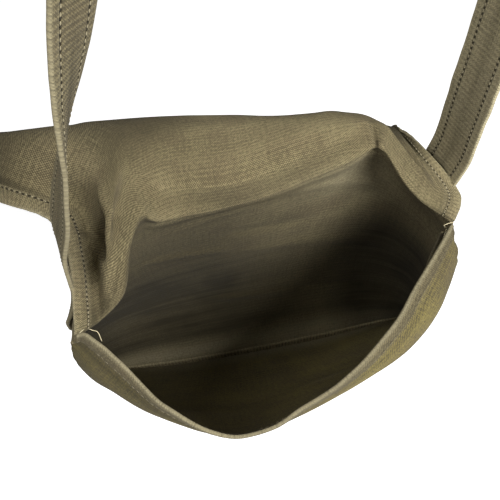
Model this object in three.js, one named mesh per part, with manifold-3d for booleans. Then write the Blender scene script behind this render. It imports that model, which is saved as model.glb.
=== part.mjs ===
// A cotton canvas haversack, hanging open from its own shoulder strap.
// Millimetres, +Z up, X along the mouth, +Y to the back. The origin is where
// the inner side of the strap's top rests on a shoulder or a hook.
import * as THREE from 'three';
import Module from 'manifold-3d';

const manifold = await Module();
manifold.setup();

// Driving sizes of the cloth pieces, as if they lay flat
const panelWidth = 370;
const bodyHeight = 290;
const flapLength = 270;
const mouthDepth = 80;
const canvas = 1.6;
const hemThickness = 3;
const hemWidth = 13;
const mouthHemWidth = 11;
const seamThickness = 2.4;
const seamAllowance = 9;
const seamEdge = -1;
const gap = 0.35;
const seamInside = 0.12;

// Driving sizes of the shoulder strap
const strapWidth = 38;
const strapThickness = 3;
const archRadius = 88;
const leftLean = THREE.MathUtils.degToRad(16.2);
const rightLean = THREE.MathUtils.degToRad(2);
const leftFoot = { x: -0.798 * panelWidth / 2, y: 50 };
const rightFoot = { x: 0.813 * panelWidth / 2, y: 50 };
const tailLength = 62;
const tailTop = 48;
const tailPlace = 0.1;
const footHeight = 40;
const tailStep = 4;

// Every table below holds its places as shares: across in half panel widths,
// back in mouth depths and up in body heights, from the middle of the mouth.
const half = panelWidth / 2;

function place([across, back, up]) {
  return new THREE.Vector3(across * half, back * mouthDepth, up * bodyHeight);
}

// Places across the front panel of its columns: leftCorner, leftSide,
// leftBelly, tip, middle, rightBelly and rightCorner. Its two side edges are
// the back panel's.
const frontColumns = [0.035, 0.12, 0.24, 0.38, 0.53, 0.74, 0.965];

// Rows of the front panel from the mouth down to the bottom seam
const frontRows = [
  { along: 0.00, at: [[-0.722, -0.02, 0], [-0.635, -0.24, -0.048], [-0.515, -0.65, -0.117],
    [-0.29, -1.0, -0.186], [-0.02, -0.97, -0.14], [0.32, -0.68, -0.07], [0.724, 0.06, 0]] },
  { along: -0.12, at: [[-0.8, 0.09, -0.125], [-0.735, -0.16, -0.17], [-0.56, -0.55, -0.235],
    [-0.28, -0.83, -0.31], [0.04, -0.86, -0.27], [0.5, -0.62, -0.2], [0.82, 0.02, -0.12]] },
  { along: -0.36, at: [[-0.845, 0.34, -0.345], [-0.77, 0.14, -0.39], [-0.57, -0.17, -0.46],
    [-0.26, -0.4, -0.53], [0.08, -0.46, -0.5], [0.61, -0.34, -0.42], [0.89, 0.12, -0.34]] },
  { along: -0.68, at: [[-0.855, 0.62, -0.61], [-0.76, 0.42, -0.635], [-0.56, 0.2, -0.67],
    [-0.27, 0.08, -0.7], [0.06, 0.03, -0.71], [0.6, 0.04, -0.69], [0.94, 0.38, -0.63]] },
  { along: -1.00, at: [[-0.824, 1.1, -0.884], [-0.663, 1.035, -0.895], [-0.436, 0.96, -0.908],
    [-0.172, 0.895, -0.917], [0.112, 0.84, -0.923], [0.51, 0.78, -0.926], [0.934, 0.752, -0.92]] },
];

// Places across the back panel and flap of their columns: leftEdge, leftDip,
// leftRidge, leftBack, middle, rightBack, rightRidge, rightDip and rightEdge
const backColumns = [0, 0.06, 0.14, 0.26, 0.5, 0.74, 0.86, 0.94, 1];

// Rows of the back panel from the bottom seam up, and of the flap from the
// fold over its back to its free end. The part below the fold is a share of
// the body height, the part beyond it a share of the flap length.
const backRows = [
  { along: -1.00, at: [[-0.89, 1.12, -0.88], [-0.777, 1.08, -0.892], [-0.625, 1.02, -0.9],
    [-0.4, 0.95, -0.91], [0.055, 0.85, -0.922], [0.51, 0.78, -0.926], [0.735, 0.765, -0.926],
    [0.887, 0.755, -0.922], [1, 0.75, -0.918]] },
  { along: -0.68, at: [[-0.875, 0.8, -0.6], [-0.84, 1.06, -0.605], [-0.69, 1.24, -0.61],
    [-0.42, 1.32, -0.62], [0.05, 1.3, -0.625], [0.52, 1.22, -0.625], [0.77, 1.08, -0.625],
    [0.91, 0.82, -0.625], [0.95, 0.54, -0.625]] },
  { along: -0.36, at: [[-0.845, 0.46, -0.33], [-0.825, 0.72, -0.315], [-0.73, 1.0, -0.305],
    [-0.46, 1.2, -0.29], [0.06, 1.24, -0.28], [0.56, 1.2, -0.275], [0.77, 0.98, -0.29],
    [0.865, 0.62, -0.31], [0.865, 0.3, -0.325]] },
  { along: -0.12, at: [[-0.81, 0.17, -0.12], [-0.775, 0.37, -0.1], [-0.68, 0.66, -0.07],
    [-0.455, 0.95, -0.03], [0.06, 1.02, -0.012], [0.57, 1.07, -0.008], [0.7, 0.76, -0.045],
    [0.785, 0.5, -0.085], [0.815, 0.25, -0.115]] },
  { along: 0.00, at: [[-0.771, 0.02, -0.01], [-0.665, 0.06, 0.014], [-0.551, 0.22, 0.048],
    [-0.417, 0.85, 0.083], [-0.012, 0.84, 0.093], [0.553, 1.01, 0.103], [0.644, 0.53, 0.055],
    [0.708, 0.32, 0.024], [0.775, 0.15, 0]] },
  { along: 0.11, at: [[-0.751, 0.3, 0.018], [-0.66, 0.28, 0.004], [-0.597, 0.4, 0.083],
    [-0.425, 1.13, 0.12], [0.003, 1.14, 0.128], [0.562, 1.2, 0.128], [0.69, 0.66, 0.078],
    [0.735, 0.43, 0.052], [0.83, 0.35, 0.035]] },
  { along: 0.26, at: [[-0.74, 0.72, 0.03], [-0.65, 0.84, -0.005], [-0.553, 0.87, 0.115],
    [-0.415, 1.48, 0.146], [0.025, 1.48, 0.14], [0.55, 1.52, 0.066], [0.674, 0.94, 0.1],
    [0.705, 0.76, 0.08], [0.75, 0.74, 0.095]] },
  { along: 0.42, at: [[-0.79, 1.22, 0.012], [-0.665, 1.38, -0.015], [-0.585, 1.42, 0.11],
    [-0.445, 1.83, 0.125], [0.02, 1.84, 0.066], [0.55, 1.7, -0.07], [0.68, 1.38, 0.035],
    [0.715, 1.2, 0.055], [0.715, 1.12, 0.08]] },
  { along: 0.60, at: [[-0.96, 1.62, -0.02], [-0.925, 1.86, 0.03], [-0.81, 2.06, 0.088],
    [-0.605, 2.2, 0.055], [-0.045, 2.06, -0.08], [0.475, 1.86, -0.21], [0.655, 1.74, -0.11],
    [0.715, 1.68, -0.05], [0.74, 1.62, 0]] },
  { along: 0.80, at: [[-1.11, 2.15, -0.12], [-1.09, 2.36, -0.06], [-0.99, 2.5, -0.005],
    [-0.64, 2.44, -0.12], [-0.15, 2.14, -0.26], [0.36, 1.94, -0.38], [0.585, 1.85, -0.29],
    [0.7, 1.82, -0.22], [0.785, 1.8, -0.16]] },
  { along: 1.00, at: [[-1.14, 2.36, -0.3], [-1.11, 2.55, -0.235], [-1.0, 2.7, -0.18],
    [-0.66, 2.56, -0.31], [-0.18, 2.18, -0.44], [0.33, 1.96, -0.55], [0.56, 1.88, -0.465],
    [0.69, 1.88, -0.395], [0.79, 1.88, -0.335]] },
];

// How far the strap's inner face turns to the front, in degrees, by the share
// of each branch from the bag up to the arch
const leftTurns = [{ up: 0, turn: 0 }, { up: 0.16, turn: -4 }, { up: 0.21, turn: -8 },
  { up: 0.27, turn: -5 }, { up: 0.32, turn: 2 }, { up: 0.38, turn: 8 }, { up: 0.43, turn: 22 },
  { up: 0.49, turn: 32 }, { up: 0.57, turn: 42 }, { up: 0.7, turn: 34 }, { up: 1, turn: 0 }];
const rightTurns = [{ up: 0, turn: 0 }, { up: 0.1, turn: 10 }, { up: 0.5, turn: 9 },
  { up: 0.8, turn: 4 }, { up: 1, turn: 0 }];

// A smooth value through named stations, by the share along them
function spline(knots, values, t) {
  let i = 0;
  while (i < knots.length - 2 && t > knots[i + 1]) i++;
  const slope = (k) => {
    const a = Math.max(0, k - 1);
    const b = Math.min(knots.length - 1, k + 1);
    return values[b].clone().sub(values[a]).divideScalar(knots[b] - knots[a]);
  };
  const span = knots[i + 1] - knots[i];
  const s = (t - knots[i]) / span;
  const s2 = s * s;
  const s3 = s2 * s;
  return values[i].clone().multiplyScalar(2 * s3 - 3 * s2 + 1)
    .addScaledVector(slope(i), (s3 - 2 * s2 + s) * span)
    .addScaledVector(values[i + 1], 3 * s2 - 2 * s3)
    .addScaledVector(slope(i + 1), (s3 - s2) * span);
}

// A row's place along the cloth, in millimetres above the fold of the back
function stationOf(row) {
  return row.along * (row.along < 0 ? bodyHeight : flapLength);
}

// The places where a table's columns cross the cloth at a height along it
function crossing(rows, along) {
  const ordered = rows[0].along < rows[1].along ? rows : [...rows].reverse();
  const stations = ordered.map(stationOf);
  return ordered[0].at.map((_, k) => spline(stations, ordered.map((row) => place(row.at[k])), along));
}

// A point of the back panel and flap: across from 0 to 1, along in millimetres
function backPoint(across, along) {
  return spline(backColumns, crossing(backRows, along), across);
}

// A point of the front panel, whose two side edges are the back panel's
function frontPoint(across, along) {
  const places = [backPoint(0, along), ...crossing(frontRows, along), backPoint(1, along)];
  return spline([0, ...frontColumns, 1], places, across);
}

// Even steps from one value to another, both included
function steps(from, to, count) {
  return Array.from({ length: count + 1 }, (_, k) => from + (to - from) * k / count);
}

// Points of a cloth surface at given places along it, between two side edges
function clothGrid(point, alongs, edges, count) {
  return alongs.map((along) => {
    const [from, to] = edges(along);
    return steps(from, to, count).map((across) => point(across, along));
  });
}

// A closed sheet of even thickness about a grid of middle points
function sheetGeometry(grid, thickness) {
  const rows = grid.length;
  const cols = grid[0].length;
  const points = [];
  const faces = [];
  for (let i = 0; i < rows; i++) {
    for (let j = 0; j < cols; j++) {
      const alongA = grid[Math.max(0, i - 1)][j];
      const alongB = grid[Math.min(rows - 1, i + 1)][j];
      const acrossA = grid[i][Math.max(0, j - 1)];
      const acrossB = grid[i][Math.min(cols - 1, j + 1)];
      const normal = acrossB.clone().sub(acrossA).cross(alongB.clone().sub(alongA)).normalize();
      points.push(grid[i][j].clone().addScaledVector(normal, thickness / 2));
      points.push(grid[i][j].clone().addScaledVector(normal, -thickness / 2));
    }
  }
  const at = (i, j, side) => 2 * (i * cols + j) + side;
  const quad = (a, b, c, d) => faces.push(a, b, c, a, c, d);
  for (let i = 0; i < rows - 1; i++) {
    for (let j = 0; j < cols - 1; j++) {
      quad(at(i, j, 0), at(i, j + 1, 0), at(i + 1, j + 1, 0), at(i + 1, j, 0));
      quad(at(i, j, 1), at(i + 1, j, 1), at(i + 1, j + 1, 1), at(i, j + 1, 1));
    }
  }
  for (let i = 0; i < rows - 1; i++) {
    quad(at(i, 0, 0), at(i + 1, 0, 0), at(i + 1, 0, 1), at(i, 0, 1));
    quad(at(i, cols - 1, 0), at(i, cols - 1, 1), at(i + 1, cols - 1, 1), at(i + 1, cols - 1, 0));
  }
  for (let j = 0; j < cols - 1; j++) {
    quad(at(0, j, 0), at(0, j, 1), at(0, j + 1, 1), at(0, j + 1, 0));
    quad(at(rows - 1, j, 0), at(rows - 1, j + 1, 0), at(rows - 1, j + 1, 1), at(rows - 1, j, 1));
  }
  const geometry = new THREE.BufferGeometry();
  geometry.setAttribute('position', new THREE.Float32BufferAttribute(
    points.flatMap((p) => [p.x, p.y, p.z]), 3));
  geometry.setIndex(faces);
  geometry.computeVertexNormals();
  return geometry;
}

// The solid of a closed geometry, and the geometry of a solid
function solidOf(geometry) {
  const mesh = new manifold.Mesh({
    numProp: 3,
    vertProperties: geometry.attributes.position.array,
    triVerts: new Uint32Array(geometry.index.array),
  });
  mesh.merge();
  return new manifold.Manifold(mesh);
}

function geometryOf(solid) {
  const mesh = solid.getMesh();
  const geometry = new THREE.BufferGeometry();
  geometry.setAttribute('position', new THREE.Float32BufferAttribute(mesh.vertProperties, 3));
  geometry.setIndex(Array.from(mesh.triVerts));
  geometry.computeVertexNormals();
  return geometry;
}

// A piece less what lies in its neighbours' clearance, without loose slivers
function clearOf(geometry, neighbours) {
  const whole = neighbours.reduce((solid, other) => solid.subtract(solidOf(other)), solidOf(geometry));
  const largest = whole.decompose().sort((a, b) => b.volume() - a.volume())[0];
  return geometryOf(largest);
}

const hemShare = hemWidth / panelWidth;
const endHemStart = flapLength - hemWidth;
const bodyAlongs = steps(-bodyHeight, -gap, 16);
const flapAlongs = steps(1, endHemStart - gap, 18);
const seamAlongs = steps(0, -bodyHeight, 20);

// The front panel below its rolled hem
function frontPanel() {
  const alongs = steps(-mouthHemWidth - gap, -bodyHeight, 16);
  return sheetGeometry(clothGrid(frontPoint, alongs, () => [0, 1], 26), canvas);
}

// The rolled hem along the front of the mouth; grow widens it into a cutter
function mouthHem(grow = 0) {
  const side = hemThickness / panelWidth;
  const alongs = steps(grow, -mouthHemWidth - grow / 2, 2);
  return sheetGeometry(clothGrid(frontPoint, alongs, () => [side, 1 - side], 36), hemThickness + 2 * grow);
}

// The back panel and the flap, one length of cloth
function backAndFlap(grow = 0) {
  const alongs = [...bodyAlongs, ...flapAlongs];
  const edges = (along) => (along < 0 ? [0, 1] : [hemShare, 1 - hemShare]);
  return sheetGeometry(clothGrid(backPoint, alongs, edges, 27), canvas + 2 * grow);
}

// A hem along one side of the flap
function flapSideHem(from, to, grow = 0) {
  const wider = grow / panelWidth;
  const alongs = [...flapAlongs];
  alongs[0] -= grow;
  const edges = () => [from - wider, to + wider];
  return sheetGeometry(clothGrid(backPoint, alongs, edges, 2), hemThickness + 2 * grow);
}

// The hem across the flap's free end
function flapEndHem(grow = 0) {
  const alongs = steps(endHemStart - grow, flapLength, 2);
  return sheetGeometry(clothGrid(backPoint, alongs, () => [0, 1], 32), hemThickness + 2 * grow);
}

// The direction from a seam into the bag, half way between its two panels
function inward(seam, front, back) {
  return front.clone().add(back).divideScalar(2).sub(seam).normalize();
}

// A strip of joined allowances from the seam's edge into the bag
function seamStrip(seams, grow) {
  const depths = [seamEdge - 4 * grow, 0, seamAllowance / 2, seamAllowance + grow];
  const grid = seams.map(({ seam, into }) => depths.map((depth) => seam.clone().addScaledVector(into, depth)));
  return sheetGeometry(grid, seamThickness + 2 * grow);
}

// The joined allowances of a side seam, turned into the bag
function sideSeam(edge, grow = 0) {
  const inside = edge === 0 ? seamInside : 1 - seamInside;
  const alongs = grow > 0 ? seamAlongs : seamAlongs.slice(1, -1);
  return seamStrip(alongs.map((along) => {
    const seam = backPoint(edge, along);
    return { seam, into: inward(seam, frontPoint(inside, along), backPoint(inside, along)) };
  }), grow);
}

// The joined allowances of the bottom seam, standing up inside the bag
function bottomSeam(grow = 0) {
  const above = -bodyHeight * (1 - seamInside / 2);
  return seamStrip(steps(0, 1, 32).map((across) => {
    const seam = backPoint(across, -bodyHeight);
    return { seam, into: inward(seam, frontPoint(across, above), backPoint(across, above)) };
  }), grow);
}

// A turn read from its table at a share of the branch
function turnAt(table, share) {
  const turns = table.map((row) => new THREE.Vector3(row.turn, 0, 0));
  return THREE.MathUtils.degToRad(spline(table.map((row) => row.up), turns, share).x);
}

// The middle of the arch, where both branches run into it without a kink
function archCentre() {
  const leftReach = archRadius + leftFoot.x * Math.cos(leftLean);
  const rightReach = rightFoot.x * Math.cos(rightLean) - archRadius;
  const height = (rightReach * Math.cos(leftLean) - leftReach * Math.cos(rightLean))
    / Math.sin(leftLean + rightLean);
  const across = (leftReach + height * Math.sin(leftLean)) / Math.cos(leftLean);
  return new THREE.Vector3(across, leftFoot.y, height);
}

// One end of the strap, sewn flat on the outside of the back panel
function tailStations(side) {
  const across = side < 0 ? tailPlace : 1 - tailPlace;
  const clear = canvas / 2 + gap + strapThickness / 2;
  const aside = side * tailStep / panelWidth;
  return steps(-tailTop - tailLength, -tailTop, 5).map((along) => {
    const wide = backPoint(across - aside, along).sub(backPoint(across + aside, along)).normalize();
    const high = backPoint(across, along + tailStep).sub(backPoint(across, along - tailStep));
    const out = wide.clone().cross(high).normalize().multiplyScalar(side);
    return { middle: backPoint(across, along).addScaledVector(out, clear), wide };
  });
}

// A branch of the strap from its tail's top to the arch, with its turns
function branchStations(side, from, to, turns) {
  const foot = side < 0 ? leftFoot : rightFoot;
  const lean = side < 0 ? leftLean : rightLean;
  const bend = new THREE.Vector3(foot.x - side * footHeight * Math.tan(lean), foot.y, footHeight);
  const direction = to.clone().sub(bend).normalize();
  const middles = [...steps(0, 1, 3).slice(1).map((t) => from.clone().lerp(bend, t)),
    ...steps(0, 1, 14).slice(1, -1).map((t) => bend.clone().lerp(to, t))];
  const whole = to.z - from.z;
  return middles.map((middle) => {
    const turn = side * turnAt(turns, (middle.z - from.z) / whole);
    return { middle, wide: new THREE.Vector3(0, 1, 0).applyAxisAngle(direction, turn) };
  });
}

// The shoulder strap: a tail, a branch, the arch, a branch and a tail
function shoulderStrap() {
  const centre = archCentre();
  const arch = steps(Math.PI - leftLean, rightLean, 14).map((angle) => ({
    middle: centre.clone().add(new THREE.Vector3(Math.cos(angle), 0, Math.sin(angle)).multiplyScalar(archRadius)),
    wide: new THREE.Vector3(0, 1, 0),
  }));
  const leftTail = tailStations(-1);
  const rightTail = tailStations(1);
  const left = branchStations(-1, leftTail.at(-1).middle, arch[0].middle, leftTurns);
  const right = branchStations(1, rightTail.at(-1).middle, arch.at(-1).middle, rightTurns);
  const stations = [...leftTail, ...left, ...arch, ...right.reverse(), ...rightTail.reverse()];
  const grid = stations.map(({ middle, wide }) => [-0.5, 0, 0.5]
    .map((share) => middle.clone().addScaledVector(wide, share * strapWidth)));
  return sheetGeometry(grid, strapThickness);
}

const olive = 0x6a6247;
const wornOlive = 0x776e51;
const strapOlive = 0x655e46;

// What the panels keep clear of
const seamRoom = [sideSeam(0, gap), sideSeam(1, gap), bottomSeam(gap), mouthHem(gap)];
const hemRoom = [flapSideHem(0, hemShare, gap), flapSideHem(1 - hemShare, 1, gap), flapEndHem(gap)];

// Each sub-part of the haversack, with its node's name and its colour
const pieces = [
  { name: 'front_panel', geometry: clearOf(frontPanel(), [...seamRoom, backAndFlap(gap)]), color: olive },
  { name: 'mouth_hem', geometry: mouthHem(), color: wornOlive },
  { name: 'back_panel_and_flap', geometry: clearOf(backAndFlap(), [...seamRoom, ...hemRoom]), color: olive },
  { name: 'flap_hem_left', geometry: flapSideHem(0, hemShare), color: wornOlive },
  { name: 'flap_hem_right', geometry: flapSideHem(1 - hemShare, 1), color: wornOlive },
  { name: 'flap_hem_end', geometry: flapEndHem(), color: wornOlive },
  { name: 'side_seam_left', geometry: clearOf(sideSeam(0), [mouthHem(gap)]), color: strapOlive },
  { name: 'side_seam_right', geometry: clearOf(sideSeam(1), [mouthHem(gap)]), color: strapOlive },
  { name: 'bottom_seam', geometry: bottomSeam(), color: strapOlive },
  { name: 'shoulder_strap', geometry: clearOf(shoulderStrap(), hemRoom), color: strapOlive },
];

// The group is moved so that the strap's inner top lies at the origin
const haversack = new THREE.Group();
const rest = archCentre();
rest.z += archRadius - strapThickness / 2;
for (const { name, geometry, color } of pieces) {
  const mesh = new THREE.Mesh(geometry, new THREE.MeshStandardMaterial({ color, roughness: 0.95, metalness: 0 }));
  mesh.name = name;
  mesh.position.copy(rest).negate();
  haversack.add(mesh);
}

export default haversack;
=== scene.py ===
"""A worn cotton canvas haversack, hanging open from its shoulder strap."""
import math

import bpy
import numpy as np
from bpy.props import FloatProperty
from bpy.props import FloatVectorProperty
from bpy.props import PointerProperty
from mathutils import Matrix
from mathutils import Vector
from mathutils import noise


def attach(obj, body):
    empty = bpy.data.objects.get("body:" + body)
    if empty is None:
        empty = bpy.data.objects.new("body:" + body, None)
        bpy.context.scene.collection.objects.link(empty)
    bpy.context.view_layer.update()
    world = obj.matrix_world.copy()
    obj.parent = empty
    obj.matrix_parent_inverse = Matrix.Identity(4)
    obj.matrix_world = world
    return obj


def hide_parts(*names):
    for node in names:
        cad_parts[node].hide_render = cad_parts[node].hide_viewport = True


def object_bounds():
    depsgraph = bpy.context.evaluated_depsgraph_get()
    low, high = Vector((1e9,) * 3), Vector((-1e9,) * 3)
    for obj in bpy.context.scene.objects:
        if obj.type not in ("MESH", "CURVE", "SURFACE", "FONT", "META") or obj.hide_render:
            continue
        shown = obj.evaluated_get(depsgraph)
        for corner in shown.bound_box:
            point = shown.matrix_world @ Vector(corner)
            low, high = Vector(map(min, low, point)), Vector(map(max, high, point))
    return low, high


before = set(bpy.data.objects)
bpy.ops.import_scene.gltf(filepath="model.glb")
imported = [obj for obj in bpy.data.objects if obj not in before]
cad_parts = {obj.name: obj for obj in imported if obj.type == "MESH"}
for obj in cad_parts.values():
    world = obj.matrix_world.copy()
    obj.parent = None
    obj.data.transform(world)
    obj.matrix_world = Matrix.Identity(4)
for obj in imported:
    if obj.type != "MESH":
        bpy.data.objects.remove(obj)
bpy.ops.object.select_all(action="DESELECT")
CAD_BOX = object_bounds()

bl_info = {
    "name": "Canvas haversack",
    "version": (1, 0, 0),
    "blender": (4, 5, 0),
    "location": "View3D > Sidebar > Haversack",
    "description": "Sews a worn canvas haversack over its packed frame",
    "category": "Object",
}

# Cloth sizes in metres. They repeat the named sizes of the solids.
PANEL_WIDTH = 0.370
BODY_HEIGHT = 0.290
FLAP_LENGTH = 0.270
MOUTH_DEPTH = 0.080
HALF = PANEL_WIDTH / 2
REST = Vector((0.0496531, 0.050, 0.4501306))

# Places across the front panel of its columns, from the left corner to the right
FRONT_COLUMNS = (0.035, 0.12, 0.24, 0.38, 0.53, 0.74, 0.965)

# Rows of the front panel, from the mouth down to the bottom seam. Every place
# is a share of half the panel's width, of the mouth's depth and of the body's
# height, from the middle of the mouth.
FRONT_ROWS = (
    (0.00, ((-0.722, -0.02, 0), (-0.635, -0.24, -0.048), (-0.515, -0.65, -0.117), (-0.29, -1.0, -0.186),
            (-0.02, -0.97, -0.14), (0.32, -0.68, -0.07), (0.724, 0.06, 0))),
    (-0.12, ((-0.8, 0.09, -0.125), (-0.735, -0.16, -0.17), (-0.56, -0.55, -0.235), (-0.28, -0.83, -0.31),
             (0.04, -0.86, -0.27), (0.5, -0.62, -0.2), (0.82, 0.02, -0.12))),
    (-0.36, ((-0.845, 0.34, -0.345), (-0.77, 0.14, -0.39), (-0.57, -0.17, -0.46), (-0.26, -0.4, -0.53),
             (0.08, -0.46, -0.5), (0.61, -0.34, -0.42), (0.89, 0.12, -0.34))),
    (-0.68, ((-0.855, 0.62, -0.61), (-0.76, 0.42, -0.635), (-0.56, 0.2, -0.67), (-0.27, 0.08, -0.7),
             (0.06, 0.03, -0.71), (0.6, 0.04, -0.69), (0.94, 0.38, -0.63))),
    (-1.00, ((-0.824, 1.1, -0.884), (-0.663, 1.035, -0.895), (-0.436, 0.96, -0.908), (-0.172, 0.895, -0.917),
             (0.112, 0.84, -0.923), (0.51, 0.78, -0.926), (0.934, 0.752, -0.92))),
)

# Places across the back panel and flap of their columns, from the left edge
BACK_COLUMNS = (0, 0.06, 0.14, 0.26, 0.5, 0.74, 0.86, 0.94, 1)

# Rows of the back panel from the bottom seam up, and of the flap from the fold
# to its free end, as shares of the body's height and of the flap's length
BACK_ROWS = (
    (-1.00, ((-0.89, 1.12, -0.88), (-0.777, 1.08, -0.892), (-0.625, 1.02, -0.9), (-0.4, 0.95, -0.91),
             (0.055, 0.85, -0.922), (0.51, 0.78, -0.926), (0.735, 0.765, -0.926), (0.887, 0.755, -0.922),
             (1, 0.75, -0.918))),
    (-0.68, ((-0.875, 0.8, -0.6), (-0.84, 1.06, -0.605), (-0.69, 1.24, -0.61), (-0.42, 1.32, -0.62),
             (0.05, 1.3, -0.625), (0.52, 1.22, -0.625), (0.77, 1.08, -0.625), (0.91, 0.82, -0.625),
             (0.95, 0.54, -0.625))),
    (-0.36, ((-0.845, 0.46, -0.33), (-0.825, 0.72, -0.315), (-0.73, 1.0, -0.305), (-0.46, 1.2, -0.29),
             (0.06, 1.24, -0.28), (0.56, 1.2, -0.275), (0.77, 0.98, -0.29), (0.865, 0.62, -0.31),
             (0.865, 0.3, -0.325))),
    (-0.12, ((-0.81, 0.17, -0.12), (-0.775, 0.37, -0.1), (-0.68, 0.66, -0.07), (-0.455, 0.95, -0.03),
             (0.06, 1.02, -0.012), (0.57, 1.07, -0.008), (0.7, 0.76, -0.045), (0.785, 0.5, -0.085),
             (0.815, 0.25, -0.115))),
    (0.00, ((-0.771, 0.02, -0.01), (-0.665, 0.06, 0.014), (-0.551, 0.22, 0.048), (-0.417, 0.85, 0.083),
            (-0.012, 0.84, 0.093), (0.553, 1.01, 0.103), (0.644, 0.53, 0.055), (0.708, 0.32, 0.024),
            (0.775, 0.15, 0))),
    (0.11, ((-0.751, 0.3, 0.018), (-0.66, 0.28, 0.004), (-0.597, 0.4, 0.083), (-0.425, 1.13, 0.12),
            (0.003, 1.14, 0.128), (0.562, 1.2, 0.128), (0.69, 0.66, 0.078), (0.735, 0.43, 0.052),
            (0.83, 0.35, 0.035))),
    (0.26, ((-0.74, 0.72, 0.03), (-0.65, 0.84, -0.005), (-0.553, 0.87, 0.115), (-0.415, 1.48, 0.146),
            (0.025, 1.48, 0.14), (0.55, 1.52, 0.066), (0.674, 0.94, 0.1), (0.705, 0.76, 0.08),
            (0.75, 0.74, 0.095))),
    (0.42, ((-0.79, 1.22, 0.012), (-0.665, 1.38, -0.015), (-0.585, 1.42, 0.11), (-0.445, 1.83, 0.125),
            (0.02, 1.84, 0.066), (0.55, 1.7, -0.07), (0.68, 1.38, 0.035), (0.715, 1.2, 0.055),
            (0.715, 1.12, 0.08))),
    (0.60, ((-0.96, 1.62, -0.02), (-0.925, 1.86, 0.03), (-0.81, 2.06, 0.088), (-0.605, 2.2, 0.055),
            (-0.045, 2.06, -0.08), (0.475, 1.86, -0.21), (0.655, 1.74, -0.12), (0.715, 1.68, -0.07),
            (0.74, 1.62, -0.03))),
    (0.80, ((-1.11, 2.15, -0.12), (-1.09, 2.36, -0.06), (-0.99, 2.5, -0.005), (-0.64, 2.44, -0.12),
            (-0.15, 2.14, -0.26), (0.36, 1.94, -0.38), (0.585, 1.85, -0.29), (0.7, 1.82, -0.22),
            (0.785, 1.8, -0.16))),
    (1.00, ((-1.14, 2.36, -0.3), (-1.11, 2.55, -0.235), (-1.0, 2.7, -0.18), (-0.66, 2.56, -0.31),
            (-0.18, 2.18, -0.44), (0.33, 1.96, -0.55), (0.56, 1.88, -0.465), (0.69, 1.88, -0.395),
            (0.79, 1.88, -0.335))),
)

# How far the strap's inner face turns to the front, in degrees, by the share of
# each branch from the bag up to the arch
LEFT_TURNS = ((0, 0), (0.16, -4), (0.21, -8), (0.27, -5), (0.32, 2), (0.38, 8), (0.43, 22), (0.49, 32),
              (0.57, 42), (0.7, 34), (1, 0))
RIGHT_TURNS = ((0, 0), (0.1, 10), (0.5, 9), (0.8, 4), (1, 0))

# Where the back panel folds over into the flap: the share across it and the
# fold's distance along the cloth in metres
FOLD_LINE = ((0.0, 0.030), (0.114, 0.022), (0.19, 0.012), (0.252, 0.001), (0.30, -0.014), (0.40, -0.019),
             (0.58, -0.020), (0.67, -0.016), (0.738, -0.002), (0.80, 0.003), (1.0, 0.001))

# Thickness of the two joined layers of canvas in a seam allowance
SEAM_THICKNESS = 0.0024

# Where stitches run: the share of the strap's half width, the distance from a
# flap hem's inner edge, and their height over the cloth
STITCH_SHARE = 0.61
ROW_TO_HEM_EDGE = 0.0016
STITCH_CLEARANCE = 0.00005

# Height of the fold's sharp edge and its reach to both sides along the cloth
FOLD_HEIGHT = 0.006
FOLD_REACH = 0.028

# Creases pressed into the cloth: each runs between two places, given as the
# share across the panel and the distance along it in metres, with its height
# in millimetres towards the cloth's inner side and its width in millimetres
BACK_CREASES = (
    (0.105, 0.016, 0.168, 0.019, -1.4, 3.6),
    (0.120, 0.026, 0.170, 0.028, 0.9, 4),
    (0.024, 0.104, 0.148, 0.034, -2.8, 4.2),
    (0.030, 0.092, 0.135, 0.030, 1.8, 4),
    (0.130, 0.100, 0.160, 0.030, 2.6, 4.5),
    (0.165, 0.060, 0.250, -0.006, -1.6, 3.5),
    (0.200, 0.070, 0.330, 0.004, 1.6, 6),
    (0.060, 0.062, 0.046, 0.006, 0.9, 2.4),
    (0.072, 0.058, 0.058, 0.010, -0.7, 2.6),
    (0.738, -0.006, 0.748, 0.044, -2.2, 4),
    (0.757, -0.010, 0.790, 0.050, 1.4, 5),
    (0.735, -0.004, 0.725, -0.060, -1.4, 6),
    (0.392, -0.205, 0.657, -0.217, 1.8, 4),
    (0.640, -0.214, 0.854, -0.219, -1.8, 5),
    (0.24, -0.100, 0.46, -0.122, 1.5, 5),
    (0.30, -0.060, 0.50, -0.050, 1.1, 5),
    (0.50, -0.045, 0.82, -0.062, 1.4, 6),
    (0.42, -0.090, 0.66, -0.105, -1.3, 6),
    (0.48, -0.130, 0.86, -0.150, 1.4, 7),
    (0.35, 0.060, 0.60, 0.046, -0.7, 9),
    (0.50, 0.012, 0.70, 0.020, -0.7, 7),
    (0.28, 0.030, 0.42, 0.012, 0.7, 7),
    (0.62, 0.035, 0.72, 0.075, 0.9, 7),
    (0.45, 0.150, 0.80, 0.190, 1.0, 9),
    (0.18, 0.130, 0.33, 0.190, -1.2, 8),
    (0.06, 0.190, 0.30, 0.225, 1.1, 9),
)
FRONT_CREASES = (
    (0.30, -0.030, 0.44, -0.085, 0.9, 8),
    (0.62, -0.035, 0.80, -0.075, -0.9, 9),
    (0.20, -0.120, 0.52, -0.160, 1.0, 9),
    (0.55, -0.150, 0.86, -0.190, -0.9, 10),
    (0.34, -0.215, 0.66, -0.235, 0.8, 9),
)


def metres(name, description, default):
    """A property that holds a length in metres."""
    return FloatProperty(name=name, description=description, default=default, unit="LENGTH")


def tint(name, description, default):
    """A property that holds a colour."""
    return FloatVectorProperty(name=name, description=description, default=default, subtype="COLOR")


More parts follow.
